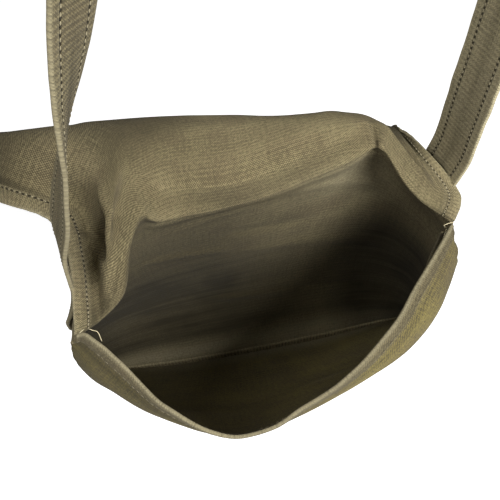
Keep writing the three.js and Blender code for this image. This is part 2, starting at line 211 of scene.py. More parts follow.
class HaversackSizes(bpy.types.PropertyGroup):
    """Sizes of the cloth, its hems and its stitches."""

    canvas: metres("Canvas thickness", "Thickness of one layer", 0.0016)
    hem: metres("Hem thickness", "Thickness of a folded hem", 0.003)
    hem_width: metres("Flap hem width", "Width of the flap's hems", 0.013)
    mouth_hem: metres("Mouth hem width", "Width of the hem at the mouth", 0.011)
    seam: metres("Seam allowance", "Width of the joined allowances", 0.009)
    strap_thickness: metres("Strap thickness", "Thickness of the strap", 0.003)
    stitch_pitch: metres("Stitch pitch", "Distance from stitch to stitch", 0.0042)
    weave: metres("Weave pitch", "Length of one wave of the weave", 0.0019)


class HaversackColours(bpy.types.PropertyGroup):
    """Colours of the canvas and its thread."""

    canvas: tint("Canvas", "Colour of the canvas", (0.200, 0.167, 0.089))
    # Also the colour that painted shade darkens towards
    dark: tint("Dark canvas", "Colour in the weave's gaps and soiled parts", (0.092, 0.076, 0.042))
    faded: tint("Faded canvas", "Colour of the front, yellowed by light", (0.203, 0.166, 0.055))
    # Also the colour of painted highlights
    worn_and_lit: tint("Worn canvas", "Colour of rubbed edges", (0.34, 0.30, 0.19))
    thread: tint("Thread", "Colour of the stitches", (0.27, 0.235, 0.15))


# Shader sockets and nodes

# How little the canvas and the thread shine
MATT = {"Specular IOR Level": 0.03, "Sheen Weight": 0.03, "Sheen Roughness": 0.55}

# How strongly each feature lightens the canvas, and what their sum is lowered by
TONE = {"threads": 2.6, "slubs": 2.4, "blotches": 2.6, "specks": 2.8, "streaks": 0.7, "lowered": 5.15}
BROWN = (0.150, 0.108, 0.066)


class Socket:
    """A shader value that reads like a number in an expression."""

    def __init__(self, tree, socket):
        self.tree = tree
        self.socket = socket

    def math(self, operation, *others):
        node = self.tree.nodes.new("ShaderNodeMath")
        node.operation = operation
        for place, value in enumerate((self, *others)):
            if isinstance(value, Socket):
                self.tree.links.new(value.socket, node.inputs[place])
            else:
                node.inputs[place].default_value = value
        return Socket(self.tree, node.outputs[0])

    def __add__(self, other):
        return self.math("ADD", other)

    __radd__ = __add__

    def __sub__(self, other):
        return self.math("SUBTRACT", other)

    def __rsub__(self, other):
        return self.math("MULTIPLY", -1.0).math("ADD", other)

    def __mul__(self, other):
        return self.math("MULTIPLY", other)

    __rmul__ = __mul__

    def clamped(self):
        return self.math("MAXIMUM", 0.0).math("MINIMUM", 1.0)


class Shader:
    """A material whose nodes are made from Python expressions."""

    def __init__(self, name):
        self.material = bpy.data.materials.new(name)
        self.material.use_nodes = True
        self.tree = self.material.node_tree
        self.surface = self.tree.nodes["Principled BSDF"]

    def node(self, kind, settings=None, outputs=0, **sockets):
        made = self.tree.nodes.new(kind)
        for key, value in (settings or {}).items():
            setattr(made, key, value)
        for key, value in sockets.items():
            socket = self.find(made.inputs, key)
            if isinstance(value, Socket):
                self.tree.links.new(value.socket, socket)
            else:
                socket.default_value = value
        return Socket(self.tree, self.find(made.outputs, outputs))

    def find(self, sockets, key):
        if isinstance(key, int):
            return sockets[key]
        if key[1:].isdigit():
            return sockets[int(key[1:])]
        return sockets[key.replace("_", " ")]

    def mix(self, share, first, second):
        return self.node("ShaderNodeMix", {"data_type": "RGBA"}, 2, i0=share, i6=first, i7=second)

    def attribute(self, name):
        return self.node("ShaderNodeAttribute", {"attribute_name": name}, "Fac")

    def split(self, vector):
        outputs = self.node("ShaderNodeSeparateXYZ", None, 0, Vector=vector).socket.node.outputs
        return Socket(self.tree, outputs[0]), Socket(self.tree, outputs[1])

    def noise(self, vector, scale, detail=2.0, roughness=0.5):
        return self.node("ShaderNodeTexNoise", None, 0, Vector=vector, Scale=scale, Detail=detail,
                         Roughness=roughness)

    def stretched(self, vector, scale):
        return self.node("ShaderNodeMapping", None, 0, Vector=vector, Scale=scale)

    def finish(self, colour, roughness, height, strength, distance):
        bump = self.node("ShaderNodeBump", None, 0, Strength=strength, Distance=distance, Height=height)
        for key, value in (("Base Color", colour), ("Roughness", roughness), ("Normal", bump)):
            self.tree.links.new(value.socket, self.surface.inputs[key])
        for key, value in MATT.items():
            self.surface.inputs[key].default_value = value
        return self.material


def rgba(colour, shade):
    return (colour[0] * shade, colour[1] * shade, colour[2] * shade, 1.0)


def canvas_material(name, sizes, colours, shade, ribs, rows=(), canvas=None):
    """Plain-woven canvas: threads, slubs, blotches, rubbed places and soiled ones, with painted highlights
    and painted shade.
    """
    shader = Shader(name)
    canvas = canvas or colours.canvas
    places = shader.node("ShaderNodeUVMap", {"uv_map": "cloth"}, "UV")
    across, along = shader.split(places)
    turns = 2 * math.pi / sizes.weave
    weave = (across * turns).math("SINE") * (along * turns).math("SINE") * 0.5 + 0.5
    fine_ribs = (along * (turns * 0.5)).math("SINE") * 0.5 + 0.5
    threads = weave * (1 - ribs) + fine_ribs * ribs
    warp_slubs = shader.noise(shader.stretched(places, (900.0, 30.0, 1.0)), 1.0, 2.0)
    weft_slubs = shader.noise(shader.stretched(places, (30.0, 900.0, 1.0)), 1.0, 2.0)
    slubs = warp_slubs * 0.5 + weft_slubs * 0.5
    blotches = shader.noise(places, 14.0, 3.0, 0.6)
    specks = shader.noise(places, 420.0, 2.0, 0.7)
    streaks = shader.noise(shader.stretched(places, (7.0, 120.0, 1.0)), 1.0, 3.0)
    tone = (threads * TONE["threads"] + slubs * TONE["slubs"] + blotches * TONE["blotches"]
            + specks * TONE["specks"] + streaks * TONE["streaks"] - TONE["lowered"])
    base = shader.mix(tone.clamped(), rgba(colours.dark, shade * 0.92), rgba(canvas, shade * 1.2))
    browned = (shader.noise(places, 31.0, 2.0, 0.5) * 1.6 - 0.62).clamped() * 0.35
    warm = shader.mix(browned, base, rgba(BROWN, shade))
    # Rubbed places: real wear, and painted highlights where the first mask carries them
    rubbed_and_lit = (shader.attribute("wear_and_painted_light") * (specks * 1.1 + slubs * 0.9 - 0.25)).clamped()
    worn_and_lit = shader.mix(rubbed_and_lit, warm, rgba(colours.worn_and_lit, shade))
    # Soiled places: real dirt, and painted shade where the second mask carries them
    soiled_and_shaded = (shader.attribute("dirt_and_painted_shade") * (blotches * 0.6 + streaks * 0.5 + 0.37)).clamped()
    colour = shader.mix(soiled_and_shaded, worn_and_lit, rgba(colours.dark, shade * 0.29))
    height = threads * 0.6 + slubs * 0.5 + specks * 0.3
    # Each stitched row: painted shade in its needle holes between the stitches, and their dents
    for place, pitch, half in rows:
        line = (1.6 - (across - place).math("ABSOLUTE") * (1.6 / half)).clamped()
        beat = (along * (2 * math.pi / pitch)).math("COSINE") * 0.5 + 0.5
        holes = line * (beat * 0.85 + 0.15)
        colour = shader.mix(holes.clamped() * 0.95, colour, rgba(colours.dark, shade * 0.2))
        height = height - holes * 1.5
    roughness = 0.86 + blotches * 0.1
    return shader.finish(colour, roughness, height, 1.0, 0.0009)


def thread_material(name, colour):
    """Waxed cotton thread with its twist and a little dirt."""
    shader = Shader(name)
    places = shader.node("ShaderNodeTexCoord", None, "Object")
    fibres = shader.noise(places, 2600.0, 2.0)
    dirt = shader.noise(places, 90.0, 2.0)
    share = (fibres * 0.7 + dirt * 0.9 - 0.3).clamped()
    tone = shader.mix(share, rgba(colour, 0.45), rgba(colour, 1.5))
    return shader.finish(tone, 0.75 + fibres * 0.15, fibres, 0.3, 0.0002)


# Places on the cloth, in metres, from the middle of the mouth

def spline(knots, values, places):
    """Smooth values at several places between named knots."""
    knots = np.asarray(knots, float)
    values = np.asarray(values, float)
    places = np.atleast_1d(np.asarray(places, float))
    order = np.arange(len(knots))
    before = np.maximum(order - 1, 0)
    after = np.minimum(order + 1, len(knots) - 1)
    shape = (-1,) + (1,) * (values.ndim - 1)
    slopes = (values[after] - values[before]) / (knots[after] - knots[before]).reshape(shape)
    start = np.clip(np.searchsorted(knots, places, side="left") - 1, 0, len(knots) - 2)
    span = knots[start + 1] - knots[start]
    s = ((places - knots[start]) / span).reshape(shape)
    span = span.reshape(shape)
    return (values[start] * (2 * s ** 3 - 3 * s ** 2 + 1) + slopes[start] * (s ** 3 - 2 * s ** 2 + s) * span
            + values[start + 1] * (3 * s ** 2 - 2 * s ** 3) + slopes[start + 1] * (s ** 3 - s ** 2) * span)


def crossings(rows, alongs):
    """Where a table's columns cross the cloth at several heights along it."""
    ordered = sorted(rows, key=lambda row: row[0])
    stations = [along * (BODY_HEIGHT if along < 0 else FLAP_LENGTH) for along, _ in ordered]
    tables = np.array([at for _, at in ordered]) * (HALF, MOUTH_DEPTH, BODY_HEIGHT)
    return spline(stations, tables, alongs)


def back_points(acrosses, alongs):
    """Points of the back panel and flap, row by row."""
    return np.array([spline(BACK_COLUMNS, row, acrosses) for row in crossings(BACK_ROWS, alongs)])


def front_points(acrosses, alongs):
    """Points of the front panel, whose side edges are the back panel's."""
    edges = back_points((0.0, 1.0), alongs)
    inner = crossings(FRONT_ROWS, alongs)
    rows = np.concatenate([edges[:, :1], inner, edges[:, 1:]], axis=1)
    return np.array([spline((0, *FRONT_COLUMNS, 1), row, acrosses) for row in rows])


def normals_of(points):
    """Unit normals of a grid of points."""
    along = np.gradient(points, axis=0)
    across = np.gradient(points, axis=1)
    normal = np.cross(across, along)
    return normal / np.maximum(np.linalg.norm(normal, axis=2, keepdims=True), 1e-12)


def ripples(acrosses, alongs, scale, seed):
    """Soft unevenness of the cloth, from about -1 to 1."""
    return np.array([[noise.noise(Vector((u * PANEL_WIDTH / scale, v / scale, seed))) for u in acrosses]
                     for v in alongs])


def wander(places, scale, across, seed):
    """Unevenness along a line, from about -1 to 1."""
    return np.array([noise.noise(Vector((place / scale, across, seed))) for place in places])


def cloth_uv(acrosses, alongs):
    """Places on the flat cloth of a grid, in metres."""
    return np.meshgrid(np.asarray(acrosses) * PANEL_WIDTH, alongs)


def unit(vectors):
    """Vectors of length 1 with the given directions."""
    return vectors / np.linalg.norm(vectors, axis=-1, keepdims=True)


def ramp(value, zero, one):
    """0 up to one value, 1 from another one on, and straight between the two."""
    return np.clip((value - zero) / (one - zero), 0, 1)


def creased(acrosses, alongs, creases):
    """Depth of the creases over a grid, in metres."""
    u, v = cloth_uv(acrosses, alongs)
    total = np.zeros_like(u)
    for u0, v0, u1, v1, depth, width in creases:
        start = np.array((u0 * PANEL_WIDTH, v0))
        run = np.array((u1 * PANEL_WIDTH, v1)) - start
        length = np.linalg.norm(run)
        share = ((u - start[0]) * run[0] + (v - start[1]) * run[1]) / length ** 2
        offset = ((u - start[0]) * run[1] - (v - start[1]) * run[0]) / length
        fade = np.clip(np.minimum(share, 1 - share) * 3.2 + 0.25, 0, 1)
        total += depth / 1000 * np.exp(-(offset / (width / 1000)) ** 2) * fade ** 2 * (3 - 2 * fade)
    return total


def near(distance, width):
    """1 at a line, falling to 0 at a width from it."""
    share = np.clip(1 - np.abs(distance) / width, 0, 1)
    return share * share * (3 - 2 * share)


# Making and dressing a piece

def vertex_places(mesh):
    """The places of a mesh's vertices, one in each row."""
    flat = np.empty(len(mesh.vertices) * 3)
    mesh.vertices.foreach_get("co", flat)
    return flat.reshape(-1, 3)


def chosen(piece):
    """Makes a piece the active one and the only one selected."""
    bpy.ops.object.select_all(action="DESELECT")
    piece.select_set(True)
    bpy.context.view_layer.objects.active = piece


def linked(name, points, faces):
    """A new piece, whose points are measured from the middle of the mouth."""
    mesh = bpy.data.meshes.new(name)
    mesh.from_pydata([tuple(point - np.array(REST)) for point in points], [], faces)
    mesh.update()
    piece = bpy.data.objects.new(name, mesh)
    bpy.context.scene.collection.objects.link(piece)
    return piece


def cloth_grid(name, points, cloth_u, cloth_v, masks):
    """A grid of faces through the given points, with its places on the flat cloth."""
    rows, columns = points.shape[:2]
    bpy.ops.mesh.primitive_grid_add(x_subdivisions=columns - 1, y_subdivisions=rows - 1, size=2)
    piece = bpy.context.object
    piece.name = name
    mesh = piece.data
    mesh.name = name
    flat = vertex_places(mesh)
    j = np.rint((flat[:, 0] + 1) / 2 * (columns - 1)).astype(int)
    i = np.rint((flat[:, 1] + 1) / 2 * (rows - 1)).astype(int)
    placed = points[i, j] - np.array(REST)
    mesh.vertices.foreach_set("co", placed.ravel())
    while mesh.uv_layers:
        mesh.uv_layers.remove(mesh.uv_layers[0])
    layer = mesh.uv_layers.new(name="cloth")
    corners = np.empty(len(mesh.loops), int)
    mesh.loops.foreach_get("vertex_index", corners)
    uv = np.column_stack([cloth_u[i, j], cloth_v[i, j]])[corners]
    layer.data.foreach_set("uv", uv.ravel())
    for key in ("wear_and_painted_light", "dirt_and_painted_shade"):
        attribute = mesh.attributes.new(key, "FLOAT", "POINT")
        values = np.clip(masks.get(key, np.zeros((rows, columns)))[i, j], 0, 1)
        attribute.data.foreach_set("value", values)
    mesh.update()
    return piece


def thickened(piece, thickness, levels):
    """Gives the cloth its thickness and rounds its edges by some levels."""
    chosen(piece)
    solid = piece.modifiers.new("thickness", "SOLIDIFY")
    solid.thickness = thickness
    solid.offset = 0
    bpy.ops.object.modifier_apply(modifier=solid.name)
    if levels:
        smooth = piece.modifiers.new("smooth", "SUBSURF")
        smooth.levels = levels
        smooth.render_levels = levels
        bpy.ops.object.modifier_apply(modifier=smooth.name)
    bpy.ops.object.shade_smooth()
    piece.select_set(False)


def fainter_marks_outside(piece, inside, shares):
    """Leaves a share of the wear, dirt, painted highlights and painted shade on a thickened panel's outer
    face.
    """
    mesh = piece.data
    places = vertex_places(mesh)
    half = len(places) // 2
    lower = places[:half, 2] < CAD_BOX[0][2] + BODY_HEIGHT * 0.7
    first_inside = np.mean(places[:half, 1][lower] - places[half:, 1][lower]) * inside > 0
    outer = slice(half, None) if first_inside else slice(0, half)
    for key, share in shares.items():
        values = np.empty(len(places))
        mesh.attributes[key].data.foreach_get("value", values)
        values[outer] *= share
        mesh.attributes[key].data.foreach_set("value", values)


def dressed(piece, material, slot, *nodes):
    """Puts a piece on the frame, in its finish and in place of its solids."""
    piece.data.materials.clear()
    piece.data.materials.append(material)
    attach(piece, "root")
    if nodes:
        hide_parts(*nodes)


def sewn(node, points, places, masks, thickness, material, slot, levels=1):
    """A finished piece of cloth in place of one solid."""
    piece = cloth_grid(node + "_cloth", points, *places, masks)
    thickened(piece, thickness, levels)
    dressed(piece, material, slot, node)
    return piece


def stitch_puckers(distance, run, pitch, depth):
    """Small hollows at every second stitch, fading away from a stitched line."""
    return -depth * near(distance, 0.009) * (0.6 + 0.4 * np.cos(2 * np.pi * run / (pitch * 2)))


def fold_places(acrosses):
    """How far along the cloth it folds over into the flap."""
    knots = [across for across, _ in FOLD_LINE]
    return spline(knots, [[along] for _, along in FOLD_LINE], acrosses)[:, 0]


def folded(points, shares, alongs):
    """Draws the cloth straight up to its fold, so that it folds over sharply."""
    normals = normals_of(points)
    made = points.copy()
    for column, place in enumerate(fold_places(shares)):
        weight = ramp(shares[column], 0.12, 0.28) * ramp(shares[column], 0.97, 0.87)
        at = [[np.interp(place + side * FOLD_REACH, alongs, points[:, column, k]) for k in range(3)]
              for side in (-1, 0, 1)]
        out = [np.interp(place, alongs, normals[:, column, k]) for k in range(3)]
        corner = np.array(at[1]) + FOLD_HEIGHT * np.array(out)
        for row, along in enumerate(alongs):
            share = (along - place) / FOLD_REACH
            if abs(share) < 1:
                end = np.array(at[2] if share > 0 else at[0])
                straight = corner + (end - corner) * abs(share)
                made[row, column] += (straight - points[row, column]) * weight
    return made


def edge_fade(edge, v):
    """0 at a panel's seams and 1 away from them, so that lifts leave the seams closed."""
    return ramp(edge, 0, 0.006) * ramp(v, -BODY_HEIGHT, 0.008 - BODY_HEIGHT)


def front_lift(acrosses, alongs):
    """How far the front panel stands off its smooth form."""
    u, v = cloth_uv(acrosses, alongs)
    lift = creased(acrosses, alongs, FRONT_CREASES)
    lift += 0.0011 * ripples(acrosses, alongs, 0.07, 3.1) + 0.0005 * ripples(acrosses, alongs, 0.024, 8.4)
    lift += stitch_puckers(v + 0.011, u, 0.0042, 0.0005)
    edge = np.minimum(u, PANEL_WIDTH - u)
    lift += 0.0013 * near(edge, 0.02) * np.sin(2 * np.pi * v / 0.021 + 3 * np.sin(v / 0.03))
    return lift * edge_fade(edge, v)


def back_lift(acrosses, alongs):
    """How far the back panel and flap stand off their smooth form."""
    u, v = cloth_uv(acrosses, alongs)
    lift = creased(acrosses, alongs, BACK_CREASES)
    past = v - fold_places(acrosses)[None]
    share = u / PANEL_WIDTH
    lift -= 0.0022 * near(past + 0.009, 0.007) * ramp(share, 0.25, 0.30)
    lift += 0.0010 * ripples(acrosses, alongs, 0.08, 5.7) + 0.00045 * ripples(acrosses, alongs, 0.026, 1.9)
    edge = np.minimum(u, PANEL_WIDTH - u)
    lift += np.where(v > 0, stitch_puckers(edge - 0.013, v, 0.0042, 0.0004), 0)
    sunk = 0.006 * ramp(share, 0.86, 0.96) * ramp(v, 0.115, 0.145)
    return lift * edge_fade(edge, v) - sunk


def settings():
    return bpy.context.scene.haversack_sizes, bpy.context.scene.haversack_colours


def place_on(points_of, lift_of, across, along, out=0.0):
    """A point on a panel, its normal and its two directions along the cloth."""
    step = 0.0015
    us = np.array((across - step / PANEL_WIDTH, across, across + step / PANEL_WIDTH))
    vs = np.array((along - step, along, along + step))
    grid = points_of(us, vs)
    normal = normals_of(grid)
    centre = grid[1, 1] + normal[1, 1] * (lift_of(us, vs)[1, 1] + out)
    return centre, normal[1, 1], unit(grid[1, 2] - grid[1, 0]), unit(grid[2, 1] - grid[0, 1])


class HAVERSACK_OT_front_panel(bpy.types.Operator):
    """Front panel, slumped and bulged below its rolled hem"""

    bl_idname = "haversack.front_panel"
    bl_label = "Front panel"

    def execute(self, context):
        sizes, colours = settings()
        acrosses = np.linspace(0.0015, 0.9985, 160)
        alongs = np.linspace(-BODY_HEIGHT + 0.0006, -0.0085, 124)
        points = front_points(acrosses, alongs)
        lift = front_lift(acrosses, alongs)
        points = points + normals_of(points) * lift[..., None]
        u, v = cloth_uv(acrosses, alongs)
        edge = np.minimum(u, PANEL_WIDTH - u)
        masks = {
            "wear_and_painted_light": (0.55 * near(edge, 0.006) + 0.4 * near(v + 0.009, 0.006)
                     + 0.25 * np.clip(-lift * 600, 0, 1) + 0.9 * near(v + BODY_HEIGHT, 0.03)),
            # Second mask: a darker band just below the mouth hem, and painted shade on the front's left
            # part, growing towards the left edge
            "dirt_and_painted_shade": 0.25 * near(v + 0.016, 0.008) + 0.45 * ramp(u / PANEL_WIDTH, 0.62, 0.22),
        }
        material = canvas_material("front_canvas", sizes, colours, 0.86, 0.15, canvas=colours.faded)
        piece = sewn("front_panel", points, (u, v), masks, sizes.canvas, material, "canvas", 0)
        fainter_marks_outside(piece, 1, {"wear_and_painted_light": 0.35})
        return {"FINISHED"}


class HAVERSACK_OT_mouth_hem(bpy.types.Operator):
    """Rolled hem along the front of the mouth, pale where it is rubbed"""

    bl_idname = "haversack.mouth_hem"
    bl_label = "Mouth hem"

    def execute(self, context):
        sizes, colours = settings()
        acrosses = np.linspace(0.0055, 0.9945, 190)
        alongs = np.concatenate([np.linspace(-sizes.mouth_hem, -0.0016, 7), [0.0]])
        points = front_points(acrosses, alongs)
        u, v = cloth_uv(acrosses, alongs)
        normal = normals_of(points)
        lift = front_lift(acrosses, alongs)
        wave = 0.0006 * ripples(acrosses, alongs * 0, 0.018, 12.3)
        plump = 0.0004 * near(v + 0.005, 0.006)
        points = points + normal * (lift + wave + plump)[..., None]
        points[..., 2] += 0.0007 * ripples(acrosses, alongs * 0, 0.03, 4.4)
        masks = {
            "wear_and_painted_light": 0.05 + 0.8 * near(v, 0.0030),
            "dirt_and_painted_shade": 0.25 + 0.20 * near(v + 0.008, 0.005),
        }
        material = canvas_material("hem_canvas", sizes, colours, 0.85, 0.15)
        sewn("mouth_hem", points, (u, v), masks, sizes.hem, material, "worn_canvas")
        return {"FINISHED"}


class HAVERSACK_OT_back_and_flap(bpy.types.Operator):
    """Back panel and flap in one length of cloth, thrown back over the rear"""

    bl_idname = "haversack.back_and_flap"
    bl_label = "Back panel and flap"

    def execute(self, context):
        sizes, colours = settings()
        shares = np.linspace(0, 1, 166)
        alongs = np.concatenate([np.linspace(-BODY_HEIGHT + 0.0006, -0.001, 126),
                                 np.linspace(0.0015, FLAP_LENGTH - 0.004, 118)])
        rows = []
        lifts = []
        spread = []
        for along in alongs:
            inset = (0.004 if along > 0 else 0.0006) / PANEL_WIDTH
            acrosses = inset + shares * (1 - 2 * inset)
            rows.append(back_points(acrosses, (along,))[0])
            lifts.append(back_lift(acrosses, (along,))[0])
            spread.append(acrosses * PANEL_WIDTH)
        points = np.array(rows)
        lift = np.array(lifts)
        points = folded(points, shares, alongs)
        points = points + normals_of(points) * lift[..., None]
        u = np.array(spread)
        v = np.repeat(alongs[:, None], len(shares), axis=1)
        edge = np.minimum(u, PANEL_WIDTH - u)
        past = v - fold_places(shares)[None]
        # Painted shade regions: the inner wall's left part (left), the facet by the left fold (facet), the
        # flap's left part (near_left)
        left = ramp(shares, 0.66, 0.42)[None]
        facet = near(past + 0.010, 0.014) * near(shares - 0.20, 0.12)[None]
        near_left = near(shares - 0.30, 0.18)[None] * ramp(v, 0.03, 0.08)
        # Painted highlight: a sheen high on the inner back wall (sheen); painted shade: the inner wall's
        # lower right part (right)
        sheen = near(shares - 0.72, 0.2)[None] * near(v + 0.045, 0.045)
        right = ramp(shares, 0.72, 0.84)[None] * ramp(v, -0.07, -0.12)
        # Painted highlight: a lighter band along the fold above the bottom seam (seamed), kept clear of
        # painted shade
        seamed = near(v + BODY_HEIGHT - 0.014, 0.032)
        inside = ramp(past, 0, -0.03)
        folding = ramp(shares, 0.22, 0.28) * ramp(shares, 0.78, 0.73)
        # Painted shade on the flap's far left end (far)
        far = ramp(shares, 0.3, 0.0)[None] * ramp(v, 0.11, 0.18)
        # First mask: real wear just inside the flap hems, and the painted highlights. Second mask: painted
        # shade on the inner wall, more to the left and towards the bottom, on the regions above and in dark
        # bands just below the fold and just past it (folding); and a darker line just inside the flap hems
        masks = {
            "wear_and_painted_light": 0.2 * near(edge - 0.014, 0.003) * (v > 0) + 0.6 * seamed + 0.5 * sheen,
            "dirt_and_painted_shade": (inside * (0.50 * left + 0.55 * ramp(v, -0.06, -0.16)) * (1 - 0.95 * seamed)
                     + 0.6 * near_left + 0.6 * right + 0.5 * facet
                     + 0.35 * near(edge - 0.0155, 0.004) * (v > 0)
                     + folding[None] * (0.75 * near(past + 0.006, 0.006) + 0.28 * near(past - 0.014, 0.018))
                     + 0.95 * far),
        }
        material = canvas_material("back_canvas", sizes, colours, 1.0, 0.15)
        piece = sewn("back_panel_and_flap", points, (u, v), masks, sizes.canvas, material, "canvas", 0)
        # The outer face keeps a fifth of the first mask and a quarter of the second, so the painted light
        # and shade stay mostly inside
        fainter_marks_outside(piece, -1, {"wear_and_painted_light": 0.2, "dirt_and_painted_shade": 0.25})
        return {"FINISHED"}


class HAVERSACK_OT_flap_hems(bpy.types.Operator):
    """Stitched hems along the flap's two sides and its free end"""

    bl_idname = "haversack.flap_hems"
    bl_label = "Flap hems"

    def execute(self, context):
        sizes, colours = settings()
        share = sizes.hem_width / PANEL_WIDTH
        row = sizes.hem_width - ROW_TO_HEM_EDGE
        rows = [(place, sizes.stitch_pitch, 0.0010) for place in (row, PANEL_WIDTH - row)]
        material = canvas_material("flap_hem_canvas", sizes, colours, 0.96, 0.25, rows)
        alongs = np.linspace(0.001, FLAP_LENGTH - sizes.hem_width - 0.0004, 84)
        for node, start, end in (("flap_hem_left", 0.0, share), ("flap_hem_right", 1 - share, 1.0)):
            self.hem(node, np.linspace(start, end, 8), alongs, sizes, material)
        ends = np.linspace(FLAP_LENGTH - sizes.hem_width, FLAP_LENGTH, 8)
        self.hem("flap_hem_end", np.linspace(0, 1, 120), ends, sizes, material)
        return {"FINISHED"}

    def hem(self, node, acrosses, alongs, sizes, material):
        points = back_points(acrosses, alongs)
        u, v = cloth_uv(acrosses, alongs)
        lift = back_lift(acrosses, alongs)
        edge = np.minimum(np.minimum(u, PANEL_WIDTH - u), FLAP_LENGTH - v)
        run = v if node != "flap_hem_end" else u
        lift = lift + 0.0004 * np.sin(2 * np.pi * run / 0.0126) * near(edge, 0.006)
        lift = lift + 0.0006 * ripples(acrosses, alongs, 0.02, 6.6)
        points = points + normals_of(points) * lift[..., None]
        masks = {
            "wear_and_painted_light": 0.12 + 0.6 * near(edge, 0.0026) + 0.25 * near(edge - 0.0125, 0.0015),
            "dirt_and_painted_shade": 0.25 * near(edge - 0.009, 0.004),
        }
        sewn(node, points, (u, v), masks, sizes.hem, material, "worn_canvas")


class HAVERSACK_OT_seams(bpy.types.Operator):
    """Joined seam allowances, turned into the bag"""

    bl_idname = "haversack.seams"
    bl_label = "Seam allowances"

    def execute(self, context):
        sizes, colours = settings()
        material = canvas_material("seam_canvas", sizes, colours, 0.8, 0.5)
        sides = np.linspace(-BODY_HEIGHT + 0.013, -0.0145, 96)
        for node, edge, inside in (("side_seam_left", 0.0, 0.12), ("side_seam_right", 1.0, 0.88)):
            seams = back_points((edge,), sides)[:, 0]
            fronts = front_points((inside,), sides)[:, 0]
            backs = back_points((inside,), sides)[:, 0]
            self.strip(node, seams, fronts, backs, sides, sizes, material)
        shares = np.linspace(0, 1, 130)
        above = (-BODY_HEIGHT * 0.94,)
        seams = back_points(shares, (-BODY_HEIGHT,))[0]
        # A lighter copy of the seam canvas: painted light on the bottom seam allowance, deep in the bag
        material = canvas_material("bottom_seam_lit_canvas", sizes, colours, 1.15, 0.3)
        self.strip("bottom_seam", seams, front_points(shares, above)[0], back_points(shares, above)[0],
                   shares * PANEL_WIDTH, sizes, material)
        return {"FINISHED"}

    def strip(self, node, seams, fronts, backs, run, sizes, material):
        lean = 0.8 if node == "bottom_seam" else 0.5
        into = unit(fronts * (1 - lean) + backs * lean - seams)
        depths = np.array((-0.001, 0, 0.003, 0.006, sizes.seam))
        points = seams[:, None] + into[:, None] * depths[None, :, None]
        points[:, -1] += into * (0.0006 * wander(run, 0.006, 2.2, 0))[:, None]
        u, v = np.meshgrid(depths, run)
        masks = {"wear_and_painted_light": 0.5 * near(u - sizes.seam, 0.002) + 0.3 * near(u + 0.001, 0.002), "dirt_and_painted_shade": u * 0}
        sewn(node, points, (u, v), masks, SEAM_THICKNESS, material, "canvas")


# The strap's half width, its arch's radius and its places, in metres from the
# middle of the mouth, its leans in radians and its tails' place as a share
# across the back panel
STRAP = {"half": 0.019, "arch": 0.088, "left_lean": math.radians(16.2), "right_lean": math.radians(2.0),
         "left_foot": -0.798 * HALF, "right_foot": 0.813 * HALF, "foot_back": 0.050, "foot_height": 0.040,
         "tail_length": 0.062, "tail_top": 0.048, "tail_place": 0.1}


def arch_centre():
    left_lean, right_lean, radius = STRAP["left_lean"], STRAP["right_lean"], STRAP["arch"]
    left_reach = radius + STRAP["left_foot"] * math.cos(left_lean)
    right_reach = STRAP["right_foot"] * math.cos(right_lean) - radius
    height = ((right_reach * math.cos(left_lean) - left_reach * math.cos(right_lean))
              / math.sin(left_lean + right_lean))
    across = (left_reach + height * math.sin(left_lean)) / math.cos(left_lean)
    return np.array((across, STRAP["foot_back"], height))


def tail_stations(side):
    """The strap's sewn end: middles and widths, from its bottom up."""
    across = STRAP["tail_place"] if side < 0 else 1 - STRAP["tail_place"]
    sizes, _ = settings()
    gap = 0.00035
    clear = sizes.canvas / 2 + gap + sizes.strap_thickness / 2
    step = 0.004
    sides = (across - side * step / PANEL_WIDTH, across + side * step / PANEL_WIDTH)
    middles = []
    widths = []
    for along in np.linspace(-STRAP["tail_top"] - STRAP["tail_length"], -STRAP["tail_top"], 6):
        sideways = back_points(sides, (along,))[0]
        wide = unit(sideways[0] - sideways[1])
        upright = back_points((across,), (along - step, along + step))[:, 0]
        out = side * unit(np.cross(wide, upright[1] - upright[0]))
        middles.append(back_points((across,), (along,))[0, 0] + out * clear)
        widths.append(wide)
    return middles, widths


def branch_stations(side, start, end, turns):
    """The strap's free length from its tail up to the arch, with its turns."""
    foot = STRAP["left_foot"] if side < 0 else STRAP["right_foot"]
    lean = STRAP["left_lean"] if side < 0 else STRAP["right_lean"]
    bend = np.array((foot - side * STRAP["foot_height"] * math.tan(lean), STRAP["foot_back"],
                     STRAP["foot_height"]))
    axis = Vector(end - bend).normalized()
    middles = [start + (bend - start) * t for t in (1 / 3, 2 / 3, 1)]
    middles += [bend + (end - bend) * t / 14 for t in range(1, 14)]
    knots = [up for up, _ in turns]
    angles = [[turn] for _, turn in turns]
    widths = []
    for middle in middles:
        share = (middle[2] - start[2]) / (end[2] - start[2])
        turn = math.radians(spline(knots, angles, (share,))[0, 0]) * side
        widths.append(np.array(Matrix.Rotation(turn, 3, axis) @ Vector((0, 1, 0))))
    return middles, widths


def strap_path():
    """Middles and widths along the whole strap, from the left tail to the right one."""
    centre = arch_centre()
    angles = np.linspace(math.pi - STRAP["left_lean"], STRAP["right_lean"], 15)
    arch = [centre + STRAP["arch"] * np.array((math.cos(a), 0, math.sin(a))) for a in angles]
    arch_widths = [np.array((0.0, 1.0, 0.0)) for _ in angles]
    left_tail, left_tail_widths = tail_stations(-1)
    right_tail, right_tail_widths = tail_stations(1)
    left, left_widths = branch_stations(-1, left_tail[-1], arch[0], LEFT_TURNS)
    right, right_widths = branch_stations(1, right_tail[-1], arch[-1], RIGHT_TURNS)
    middles = left_tail + left + arch + right[::-1] + right_tail[::-1]
    widths = left_tail_widths + left_widths + arch_widths + right_widths[::-1] + right_tail_widths[::-1]
    middles = np.array(middles)
    lengths = np.concatenate([[0], np.cumsum(np.linalg.norm(np.diff(middles, axis=0), axis=1))])
    return lengths, middles, np.array(widths)


